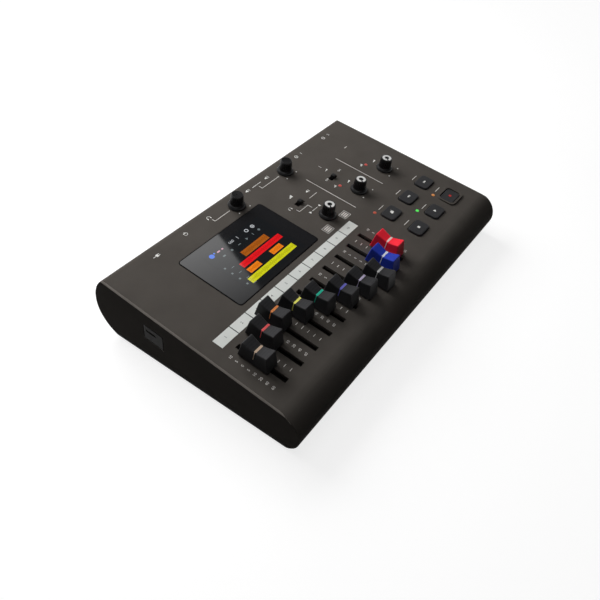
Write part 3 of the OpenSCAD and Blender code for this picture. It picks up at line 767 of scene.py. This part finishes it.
# %% Key signs
KEY_SIGNS = {
    "click": [[(-1.5, -1.1), (1.5, -1.1), (0.7, 1.2), (-0.7, 1.2)], rectangle(0.35, 2.6, 1.5, 0.5)],
    "rewind": [arrow(-0.75, -1), arrow(0.75, -1)],
    "forward": [arrow(-0.75, 1), arrow(0.75, 1)],
    "stop": [rectangle(1.9, 1.9)],
    "play": [arrow(0, 1, 2.1)],
    "record": [round_points(1.05)],
}
KEY_TOP, RECORD_TOP = 1.3 * MM, 0.7 * MM
record_red = moulded("record_red", srgb(200, 40, 34), rough=0.4, bump=0.05, spread=0.05)
for name, shapes in KEY_SIGNS.items():
    top = RECORD_TOP if name == "record" else KEY_TOP
    middle = panel_centre("key_" + name)
    sign = join_flat(shapes, (middle.x, middle.y, top - SINK * MM))
    lay_on_panel(sign)
    material = record_red if name == "record" else print_white
    settle(sign, f"{name}_key_sign", f"{name}_key", material, "strip")
print("key signs:", len(KEY_SIGNS))

# %% [markdown]
# The five lights are small lenses at the top of their light pipes. A slim cylinder, as long as the
# pipe, is drawn in at the top to a dome. Each one glows in its own colour: red for level and beat,
# green and amber for the transport keys.

# %% Indicator lights
LIGHT_PLACES = {
    "peak_1": ((54.74, -52.49), (1.0, 0.13, 0.1), 0.22),
    "peak_2": ((91.88, -52.33), (1.0, 0.13, 0.1), 0.22),
    "beat": ((47.16, -88.61), (1.0, 0.18, 0.1), 0.2),
    "play": ((72.22, -110.65), (0.12, 1.0, 0.14), 0.6),
    "record": ((97.66, -110.65), (1.0, 0.38, 0.1), 0.36),
}
LENS_SIDES, LENS_R, PIPE_FOOT = 32, 1.25 * MM, -14 * MM
LENS_DOME = [(0.9, 0.12), (0.7, 0.12), (0.4, 0.06)]
LENS_SMOOTH = 50
UPWARD = 0.9


def make_lens():
    clear_selection()
    bpy.ops.mesh.primitive_cylinder_add(vertices=LENS_SIDES, radius=LENS_R, depth=-PIPE_FOOT,
                                        location=(0, 0, PIPE_FOOT / 2))
    lens = bpy.context.object
    apply_place()
    pick(lens, "FACE", lambda f: f.normal.z > UPWARD)
    for share, rise in LENS_DOME:
        bpy.ops.mesh.extrude_region_move(TRANSFORM_OT_translate={"value": (0, 0, rise * MM)})
        bpy.ops.transform.resize(value=(share, share, 1))
    leave_edit_mode()
    bpy.ops.object.shade_smooth_by_angle(angle=math.radians(LENS_SMOOTH))
    return lens


lens_model = make_lens()
for name, ((x, y), colour, strength) in LIGHT_PLACES.items():
    lens = panel_copy(lens_model, (x * MM, y * MM))
    replaced = ["status_lights"] if name == "peak_1" else []
    glow = glowing(f"{name}_glow", colour, strength, rough=0.3, bump=0.05)
    settle(lens, f"{name}_light", "chassis", glow, "light", *replaced)
bpy.data.objects.remove(lens_model)
print("lights:", len(LIGHT_PLACES))

# %% [markdown]
# The sockets at the rear get a plated bush round each plug bore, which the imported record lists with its
# place. A circle is hollowed to a ring, made thick, and turned to face the rear. The two wide sockets
# also have a latch below the bore, a small block with eased edges.

# %% Socket bushes and latches
BUSH_OUT, BUSH_IN, BUSH_DEEP, BUSH_PROUD = 4.3 * MM, 3.3 * MM, 0.6 * MM, 0.2 * MM
BUSH_SIDES, BUSH_EASE = 64, 0.15 * MM
LATCH_SIZE = (5.4 * MM, 1.0 * MM, 2.2 * MM)
LATCH_DROP, LATCH_SINK, LATCH_EASE = 8.4 * MM, 0.1 * MM, 0.25 * MM


def make_bush():
    bush = disc(BUSH_SIDES, BUSH_OUT)
    pick(bush, "FACE", everything)
    cut_out(BUSH_OUT - BUSH_IN)
    thicken(BUSH_DEEP)
    soften(bush, BUSH_EASE, 2)
    return bush


bush_model = make_bush()
bores = [m for m in frame["record"]["mounts"] if m["kind"] == "bore"]
for bore in bores:
    mouth = Vector(bore["pos_m"]) + Vector((0, bore["dims"]["length_mm"] / 2 * MM, 0))
    bush = copy_of(bush_model)
    bush.matrix_world = (Matrix.Translation(mouth + Vector((0, BUSH_PROUD - BUSH_DEEP, 0)))
                         @ Matrix.Rotation(math.radians(-90), 4, "X"))
    settle(bush, bore["name"] + "_bush", "chassis", plated, "metal")
    if bore["name"].startswith("input"):
        latch = block(LATCH_SIZE, mouth - Vector((0, LATCH_SINK, LATCH_DROP)))
        soften(latch, LATCH_EASE, 2)
        settle(latch, bore["name"] + "_latch", "chassis", plated, "metal")
bpy.data.objects.remove(bush_model)
print("socket bushes:", len(bores))

# %% [markdown]
# Print is modelled as plates a few hundredths of a millimetre thick, so that it follows the panel and
# stays with the part in any program. A stroke turns a row of points into a line of one width, made of
# a short plate per step. Numbers come from Blender's own font and are turned into meshes.

# %% Helpers for print
DIGIT_HALF, DIGIT_LIFT, DIGIT_CURVE = 0.01, 0.02, 3


def stroke(points, width):
    """The plates of a line of one width through a row of points."""
    plates = []
    for (x0, y0), (x1, y1) in zip(points, points[1:]):
        length = math.hypot(x1 - x0, y1 - y0)
        ux, uy = (x1 - x0) / length * width / 2, (y1 - y0) / length * width / 2
        plates.append([(x0 - ux + uy, y0 - uy - ux), (x1 + ux + uy, y1 + uy - ux),
                       (x1 + ux - uy, y1 + uy + ux), (x0 - ux - uy, y0 - uy + ux)])
    return plates


def arc_points(x, y, radius, start, end, steps=14):
    angles = [math.radians(start + (end - start) * k / steps) for k in range(steps + 1)]
    return [(x + radius * math.cos(a), y + radius * math.sin(a)) for a in angles]


def moved(shapes, x, y, size=1.0):
    return [[(x + px * size, y + py * size) for px, py in shape] for shape in shapes]


def number(text, x, y, z, size):
    """A number as a thin mesh, centred on a place on the panel."""
    clear_selection()
    bpy.ops.object.text_add(location=(x * MM, y * MM, z * MM))
    obj = bpy.context.object
    obj.data.body = text
    obj.data.size = size * MM
    obj.data.align_x, obj.data.align_y = "CENTER", "CENTER"
    obj.data.extrude = DIGIT_HALF * MM
    obj.data.resolution_u = DIGIT_CURVE
    bpy.ops.object.convert(target="MESH")
    apply_place()
    digit = bpy.context.object
    pick(digit, "VERT", everything)
    bpy.ops.mesh.remove_doubles(threshold=MERGE)
    bpy.ops.mesh.dissolve_degenerate(threshold=MERGE)
    leave_edit_mode()
    return digit


def printed(name, shapes, z, material, numbers=(), slot="strip"):
    """Plates and numbers joined to one printed piece on the panel."""
    pieces = [join_flat(shapes, (0, 0, z * MM))] if shapes else []
    pieces += [number(text, x, y, z + DIGIT_LIFT, size) for text, x, y, size in numbers]
    piece = join_pieces(pieces) if len(pieces) > 1 else pieces[0]
    lay_on_panel(piece)
    return settle(piece, name, "chassis", material, slot)


print("print helpers ready")

# %% [markdown]
# The pale strip behind the faders is for writing on. Thin dark lines part it into ten cells, each
# with its number.

# %% Label strip
STRIP_Y, STRIP_TOP = panel_centre("label_strip").y / MM, 0.1
FIRST_X, STEP_X = faders[0].x / MM, PITCH / MM
CELL_LINE, CELL_NUMBER = (0.65, 7.6), 2.6
lines = [rectangle(*CELL_LINE, FIRST_X + STEP_X * (k + 0.5), STRIP_Y) for k in range(FADERS - 1)]
digits = [(str(k + 1), FIRST_X + STEP_X * k, STRIP_Y, CELL_NUMBER) for k in range(FADERS)]
printed("strip_lines", lines, STRIP_TOP - SINK, print_dark, slot="base")
printed("strip_numbers", [], STRIP_TOP - SINK, print_dark, digits, slot="base")
print("strip cells:", len(digits))

# %% [markdown]
# A black foam seal fills the groove round the glass. A plane with rounded corners is hollowed to a
# frame and made thick, a little narrower than the groove on each side.

# %% Display seal
GLASS_WIDTH, GLASS_DEPTH, GLASS_CORNER = 81 * MM, 52 * MM, 2 * MM
GROOVE, GAP_OUT, GAP_IN = 0.6 * MM, 0.02 * MM, 0.04 * MM
SEAL_FOOT, SEAL_TOP = -0.98 * MM, -0.2 * MM


def make_seal():
    """A foam frame in the groove: a plane with round corners, hollowed and made thick."""
    clear_selection()
    bpy.ops.mesh.primitive_plane_add(size=1, location=(0, 0, SEAL_FOOT))
    seal = bpy.context.object
    seal.scale = [size + 2 * (GROOVE - GAP_OUT) for size in (GLASS_WIDTH, GLASS_DEPTH)] + [1]
    apply_place()
    pick(seal, "VERT", everything)
    bpy.ops.mesh.bevel(offset=GLASS_CORNER + GROOVE, segments=8, affect="VERTICES")
    bpy.ops.mesh.select_mode(type="FACE")
    bpy.ops.mesh.select_all(action="SELECT")
    cut_out(GROOVE - GAP_OUT - GAP_IN)
    thicken(SEAL_TOP - SEAL_FOOT)
    return seal


glass_place = panel_centre("display_glass")
seal_foam = moulded("seal_foam", srgb(14, 14, 14), rough=0.9, grain=1800, bump=0.3, spread=0.2,
                    shine=0.05)
seal = make_seal()
seal.matrix_world = Matrix.Translation((glass_place.x, glass_place.y, 0))
lay_on_panel(seal)
settle(seal, "display_seal", "chassis", seal_foam, "foot")
print("seal faces:", len(seal.data.polygons))

# %% [markdown]
# The display shows a plain picture of tracks: coloured bars on a dark ground, with fine strokes of
# changing height on them, as for recorded sound. The plates lie on the glass, share its gloss and give
# off their own light, so they stay bright where the panel lies in shade.

# %% Tracks on the display
GLASS_TOP, GROUND_Z, WAVE_TOP = 0.2, 0.185, 0.21
SCREEN_GROUND = (56, 41.5, -44.6, -51)
TRACKS = {
    "brown": ((176, 92, 18), [(24.5, 5.2, -39.6, -47.4)]),
    "red": ((236, 22, 30), [(40.2, 4.6, -40.4, -53.6)]),
    "orange": ((246, 132, 22), [(11, 4.4, -55.4, -59.9), (10.8, 4.4, -32.6, -59.9)]),
    "yellow": ((214, 214, 24), [(45.6, 4.9, -43.9, -66.0)]),
}
WAVE_SHADE, WAVE_STEP, WAVE_THICK = 0.72, 0.9, 0.32
WAVE_LEAST, WAVE_SWING, WAVE_FAST, WAVE_SLOW, WAVE_START = 0.2, 0.6, 1.7, 0.37, 0.4
PICTURE_LIGHT, PICTURE_UNDER = 0.85, 0.05
GROUND_LIGHT, GROUND_UNDER = 0.25, 0.6


def wave(width, height, x, y):
    """Upright strokes of changing height along a bar."""
    count = int(width / WAVE_STEP)
    start = x - (count - 1) / 2 * WAVE_STEP
    strokes = []
    for k in range(count):
        swing = abs(math.sin(WAVE_FAST * k) * math.cos(WAVE_SLOW * k + WAVE_START))
        share = WAVE_LEAST + WAVE_SWING * swing
        strokes.append(rectangle(WAVE_THICK, height * share, start + k * WAVE_STEP, y))
    return strokes


def on_screen(name, colour, shapes, z=GLASS_TOP, numbers=()):
    """Lit plates of one colour on the glass."""
    finish = glowing(name, srgb(*colour), PICTURE_LIGHT, under=PICTURE_UNDER, **GLASS_GLOSS)
    return printed(name, shapes, z, finish, numbers, slot="glass")


screen_dark = glowing("screen_dark", srgb(24, 26, 29), GROUND_LIGHT, under=GROUND_UNDER, **GLASS_GLOSS)
printed("screen_ground", [rectangle(*SCREEN_GROUND)], GROUND_Z, screen_dark, slot="glass")
for name, (colour, bars) in TRACKS.items():
    on_screen(f"screen_{name}", colour, [rectangle(*bar) for bar in bars])
    strokes = [plate for bar in bars for plate in wave(*bar)]
    on_screen(f"screen_{name}_wave", [round(c * WAVE_SHADE) for c in colour], strokes, WAVE_TOP)
print("tracks:", len(TRACKS))

# %% [markdown]
# Above the tracks stands a row of small signs with a counter, and below it a second row for the tools.
# Each track also has a mark at its left. They are generic shapes: dots, rings, bars and a triangle.

# %% Signs on the display
SIGN_ROW, TOOL_ROW, MARK_X = -34.2, -39.5, -69.6
dot_and_tag = [round_points(1.9, 20), rectangle(1.2, 1.2, 3.0, 0.8)]
on_screen("screen_blue", (66, 118, 232), moved(dot_and_tag, -67.4, SIGN_ROW))
tags = [rectangle(2.6, 1.1, -61.0, SIGN_ROW), rectangle(1.4, 1.1, -57.4, SIGN_ROW)]
on_screen("screen_pink", (214, 160, 180), tags)
pale = [rectangle(0.35, 2.6, -42.5, SIGN_ROW), rectangle(0.9, 0.9, -26.9, SIGN_ROW)]
for x in (-33.1, -26.9):
    pale += stroke(arc_points(x, SIGN_ROW, 1.25, 0, 360, 20), 0.5)
on_screen("screen_pale", (206, 210, 214), pale, numbers=[("000", -48.4, SIGN_ROW, 3.0)])
TOOLS = [(2.2, 1.2, -61.2), (1.6, 1.6, -53.8), (2.4, 0.6, -46.3), (0.5, 2.0, -32.5)]
tools = [rectangle(w, h, x, TOOL_ROW) for w, h, x in TOOLS]
tools += moved([arrow(0, 1, 1.9)], -38.6, TOOL_ROW) + moved([round_points(1.0, 18)], -26.2, TOOL_ROW)
for _, bars in TRACKS.values():
    row = bars[0][-1]
    tools += [rectangle(1.3, 1.3, MARK_X, row), rectangle(2.6, 0.4, MARK_X + 4.4, row - 2.75)]
on_screen("screen_grey", (112, 122, 124), tools)
print("display signs ready")

# %% [markdown]
# The panel carries pale print. Beside its sockets and knobs stand common signs such as a mains switch,
# a headphone and a loudspeaker. Each one is a list of plates about its own middle, so that it can be
# placed and sized with one call.

# %% Signs
def power_sign():
    return stroke(arc_points(0, 0, 1.3, 120, 420, 18), 0.4) + [rectangle(0.4, 1.5, 0, 1.0)]


def headphone_sign():
    pads = [rectangle(0.75, 1.3, -1.35, -0.9), rectangle(0.75, 1.3, 1.35, -0.9)]
    return stroke(arc_points(0, -0.3, 1.5, 0, 180, 14), 0.35) + pads


def speaker_sign():
    cone = [(-0.5, -0.55), (0.6, -1.3), (0.6, 1.3), (-0.5, 0.55)]
    sound = [stroke(arc_points(0.5, 0, radius, -40, 40, 8), 0.3) for radius in (1.1, 1.9)]
    return [rectangle(0.9, 1.1, -0.95, 0), cone] + sound[0] + sound[1]


def plug_sign():
    prongs = [rectangle(1.1, 0.35, 1.6, 0.5), rectangle(1.1, 0.35, 1.6, -0.5)]
    return [rectangle(1.4, 1.9, 0.4, 0), rectangle(2.2, 0.35, -1.3, 0)] + prongs


def socket_sign():
    pins = [moved([round_points(0.3, 12)], x, y)[0] for x, y in ((-0.65, 0.2), (0.65, 0.2), (0, -0.65))]
    return stroke(arc_points(0, 0, 1.4, 0, 360, 24), 0.35) + pins


def wedge_sign():
    return [[(-1.7, -0.55), (1.7, -0.55), (1.7, 0.75)]]


def meter_sign():
    return [rectangle(0.5, 0.9 + 0.45 * k, -1.2 + 0.8 * k, -0.5 + 0.225 * k) for k in range(4)]


print("signs ready")

# %% [markdown]
# Eleven columns of marks stand beside and between the fader slots. Every second column has the numbers
# of the level, which fall from 10 through 0 to 60, and the others have short ticks.

# %% Fader scales
SCALE_TOP, SCALE_STEP, SCALE_ASIDE = -95.1, 4.39, 1.5
TICK, SCALE_NUMBER = (2.3, 0.38), 2.5
SCALE = ["10", "5", "0", "5", "10", "20", "40", "60"]
ticks, scale_numbers = [], []
for column in range(FADERS + 1):
    aside = {0: -SCALE_ASIDE, FADERS: SCALE_ASIDE}.get(column, 0)
    x = FIRST_X + STEP_X * (column - 0.5) + aside
    for k, text in enumerate(SCALE):
        y = SCALE_TOP - SCALE_STEP * k
        if column % 2:
            ticks.append(rectangle(*TICK, x, y))
        else:
            scale_numbers.append((text, x, y, SCALE_NUMBER))
printed("fader_scales", ticks, -SINK, print_dim, scale_numbers)
print("scale marks:", len(ticks), "ticks,", len(scale_numbers), "numbers")

# %% [markdown]
# The signs now go to their places: a row along the rear edge stands for the sockets behind it, and
# others say what the knobs and the two switches do.

# %% Signs in place
SIGN_PLACES = [
    (plug_sign, -90.7, -8.5, 1.15), (power_sign, -63.5, -7.4, 1), (headphone_sign, -41.2, -7.2, 1),
    (speaker_sign, -0.5, -7.4, 1), (speaker_sign, 21.5, -7.4, 1), (socket_sign, 59.4, -7.2, 1),
    (socket_sign, 96.4, -7.2, 1), (headphone_sign, 6.2, -41.6, 0.9), (speaker_sign, 31.0, -38.8, 0.9),
    (meter_sign, 17.0, -33.9, 1.1), (wedge_sign, 62.4, -33.8, 1), (meter_sign, 51.2, -50.2, 0.9),
    (meter_sign, 88.4, -50.0, 0.9), (wedge_sign, 63.4, -54.2, 1.1), (wedge_sign, 100.4, -54.2, 1.1),
]
BALANCE_ROW, BALANCE_ARROWS = -54.6, [arrow(13.9, 1, 2.0), arrow(24.3, -1, 2.0)]
BETWEEN_SIGNS = [(9.5, 0.35, 10.2, -7.5), (6.2, 0.35, 19.1, BALANCE_ROW)]
MARKS = [("1", 66.0, -7.2, 3.0), ("2", 103.4, -7.2, 3.0),
         ("ON", 69.9, -41.4, 2.1), ("OFF", 53.3, -41.4, 2.1)]
signs = [plate for sign, x, y, size in SIGN_PLACES for plate in moved(sign(), x, y, size)]
signs += [rectangle(*bar) for bar in BETWEEN_SIGNS] + moved(BALANCE_ARROWS, 0, BALANCE_ROW)
printed("panel_signs", signs, -SINK, print_white, MARKS)
print("signs placed:", len(SIGN_PLACES))

# %% [markdown]
# Fine lines tie signs to their knobs, two longer ones part the inputs, a short bar stands over each key,
# and two small framed lists stand beside the strip. Dots mark both ends of four knobs' travel.

# %% Lines, frames and dots
LINES = [
    (0.5, [(41.9, -30.3), (41.9, -74.9)]), (0.5, [(80.8, -30.8), (80.8, -74.7)]),
    (0.4, [(-40.5, -10.2), (-40.5, -12.6), (-25.6, -12.6)]),
    (0.4, [(10.2, -9.8), (10.2, -12.9), (30.2, -12.9)]),
    (0.4, [(8.7, -45.9), (8.7, -48.4), (18.9, -48.4), (18.9, -52.0)]),
    (0.4, [(26.0, -44.6), (35.0, -44.6)]),
    (0.4, [(62.4, -26.9), (62.4, -29.3)]), (0.5, [(98.0, -27.6), (100.6, -27.6)]),
]
KEY_BAR = (6.85, 0.45)
KEY_BARS = [(105.6, -89.2), (80.6, -89.0), (55.5, -88.9), (54.5, -111.5), (80.0, -112.1), (106.0, -109.8)]
LISTS, LIST_SIZE, LIST_LINE = [(8.2, -73.8), (29.2, -73.8)], (7.2, 5.8), 0.3
LIST_BAR, LIST_ROWS = (5.2, 0.8), (1.5, 0, -1.5)
KNOB_DOTS = [(-11.3, -19.3), (-22.7, -19.2), (44.0, -18.9), (32.3, -19.0), (106.3, -73.4), (93.0, -73.5),
             (68.7, -73.2), (55.6, -73.1)]
DOT = round_points(0.5, 16)
rules = [plate for width, points in LINES for plate in stroke(points, width)]
rules += [rectangle(*KEY_BAR, x, y) for x, y in KEY_BARS]
list_frame = rectangle(*LIST_SIZE)
list_plates = stroke(list_frame + list_frame[:1], LIST_LINE)
list_plates += [rectangle(*LIST_BAR, 0, y) for y in LIST_ROWS]
for x, y in LISTS:
    rules += moved(list_plates, x, y)
printed("panel_rules", rules, -SINK, print_dim)
printed("knob_dots", [moved([DOT], x, y)[0] for x, y in KNOB_DOTS], -SINK, print_white)
print("lines and frames:", len(rules), "plates")

# %% [markdown]
# A pale floor and a pale surrounding wall make the studio. To the camera and in reflections the floor
# looks nearly white, because it gives off some light that only such rays see. To all other rays it is
# dark, so it throws little light back at the case. Its shadow stays, because the lit part of its colour
# is still a plain diffuse one. Far from the part the floor grows to white, to meet the wall.

# %% Floor
FLOOR_SEEN, FLOOR_PLAIN = 0.3, 0.03
FLOOR_SIZE, NEAR, FAR = 12, 0.3, 1.3
GLOW_NEAR, GLOW_FAR = 0.8, 1.0
scene = bpy.context.scene
scene.view_settings.view_transform = "Standard"
clear_selection()
bpy.ops.mesh.primitive_plane_add(size=FLOOR_SIZE, location=(0, 0, 0))
floor = bpy.context.object
floor.name = "studio_floor"


def seen_rays(tree):
    """One for rays from the camera, and for those that gloss or glass throws on, else zero."""
    paths = tree.nodes.new("ShaderNodeLightPath")
    most = paths.outputs["Is Camera Ray"]
    for kind in ("Is Glossy Ray", "Is Transmission Ray"):
        larger = tree.nodes.new("ShaderNodeMath")
        larger.operation = "MAXIMUM"
        tree.links.new(most, larger.inputs[0])
        tree.links.new(paths.outputs[kind], larger.inputs[1])
        most = larger.outputs[0]
    return most


floor_paint = bpy.data.materials.new("floor_paint")
floor_paint.use_nodes = True
tree = floor_paint.node_tree
tree.nodes.clear()
new, link = tree.nodes.new, tree.links.new
seen, plain = new("ShaderNodeBsdfDiffuse"), new("ShaderNodeBsdfDiffuse")
seen.inputs["Color"].default_value = (FLOOR_SEEN, FLOOR_SEEN, FLOOR_SEEN, 1)
plain.inputs["Color"].default_value = (FLOOR_PLAIN, FLOOR_PLAIN, FLOOR_PLAIN, 1)
distance = new("ShaderNodeVectorMath")
distance.operation = "LENGTH"
link(new("ShaderNodeTexCoord").outputs["Object"], distance.inputs[0])
far_glow = in_range(tree, distance.outputs["Value"], NEAR, FAR, GLOW_NEAR, GLOW_FAR)
glow, both = new("ShaderNodeEmission"), new("ShaderNodeAddShader")
link(far_glow.outputs["Result"], glow.inputs["Strength"])
link(seen.outputs[0], both.inputs[0])
link(glow.outputs[0], both.inputs[1])
choice, output = new("ShaderNodeMixShader"), new("ShaderNodeOutputMaterial")
link(seen_rays(tree), choice.inputs[0])
link(plain.outputs[0], choice.inputs[1])
link(both.outputs[0], choice.inputs[2])
link(choice.outputs[0], output.inputs["Surface"])
floor.data.materials.append(floor_paint)
print("floor ready")

# %% [markdown]
# The world is the wall: white near the horizon and dark overhead, so that most of the glass stays black.
# Only the camera and reflections see it. For all other rays it is a weak, even fill.

# %% World
DARK_CEILING, FILL = 0.07, 0.022
WALL_TOP, CEILING = 0.2, 0.6
world = bpy.data.worlds.new("studio")
scene.world = world
world.use_nodes = True
tree = world.node_tree
height = tree.nodes.new("ShaderNodeSeparateXYZ")
tree.links.new(tree.nodes.new("ShaderNodeTexCoord").outputs["Generated"], height.inputs["Vector"])
backdrop = in_range(tree, height.outputs["Z"], WALL_TOP, CEILING, 1.0, DARK_CEILING)
strength = in_range(tree, seen_rays(tree), 0, 1, FILL, 1.0)
tree.links.new(backdrop.outputs["Result"], strength.inputs["To Max"])
tree.nodes["Background"].inputs["Color"].default_value = (1, 1, 1, 1)
tree.links.new(strength.outputs["Result"], tree.nodes["Background"].inputs["Strength"])
print("world ready")

# %% [markdown]
# Three soft lamps light the part. The first hangs behind it, where the glass shows it to the camera as a
# grey sheen with a slanted edge that fades. The second stands nearer and lights the panel from the rear,
# so that the front falls into shade. The third is a weak fill from above.

# %% Lamps
def softbox(name, place, aim, size, radiance, turn=0.0):
    """A rectangular lamp that shines from a place to an aim, as bright as its surface should look."""
    clear_selection()
    bpy.ops.object.light_add(type="AREA", location=place)
    lamp = bpy.context.object
    lamp.name = name
    lamp.data.shape = "RECTANGLE"
    lamp.data.size, lamp.data.size_y = size
    lamp.data.energy = radiance * math.pi * size[0] * size[1]
    facing = (Vector(aim) - Vector(place)).to_track_quat("-Z", "Y").to_matrix().to_4x4()
    lamp.matrix_world = Matrix.Translation(place) @ Matrix.Rotation(math.radians(turn), 4, "Z") @ facing
    return lamp


# Place, aim, size and brightness of each lamp, and for the first one its turn
LAMPS = {
    "sheen_box": ((0.085, 0.50, 0.58), (0.085, 0.50, 0), (0.6, 0.56), 2.6, -16),
    "rear_box": ((0.06, 0.42, 0.38), (0, 0, 0.03), (0.5, 0.3), 7.0),
    "top_box": ((-0.15, 0.0, 0.9), (-0.15, 0.0001, 0), (0.55, 0.55), 1.6),
}
FADE_END, FADE_LEAST = 0.3, 0.05
lamps = {name: softbox(name, *settings) for name, settings in LAMPS.items()}
lamps["rear_box"].visible_glossy = False
sheen = lamps["sheen_box"].data
sheen.use_nodes = True
tree = sheen.node_tree
across = tree.nodes.new("ShaderNodeSeparateXYZ")
tree.links.new(tree.nodes.new("ShaderNodeNewGeometry").outputs["Parametric"], across.inputs["Vector"])
fade = in_range(tree, across.outputs["Y"], 0, FADE_END, FADE_LEAST, 1)
tree.links.new(fade.outputs["Result"], tree.nodes["Emission"].inputs["Strength"])
print("lamps:", len(lamps))
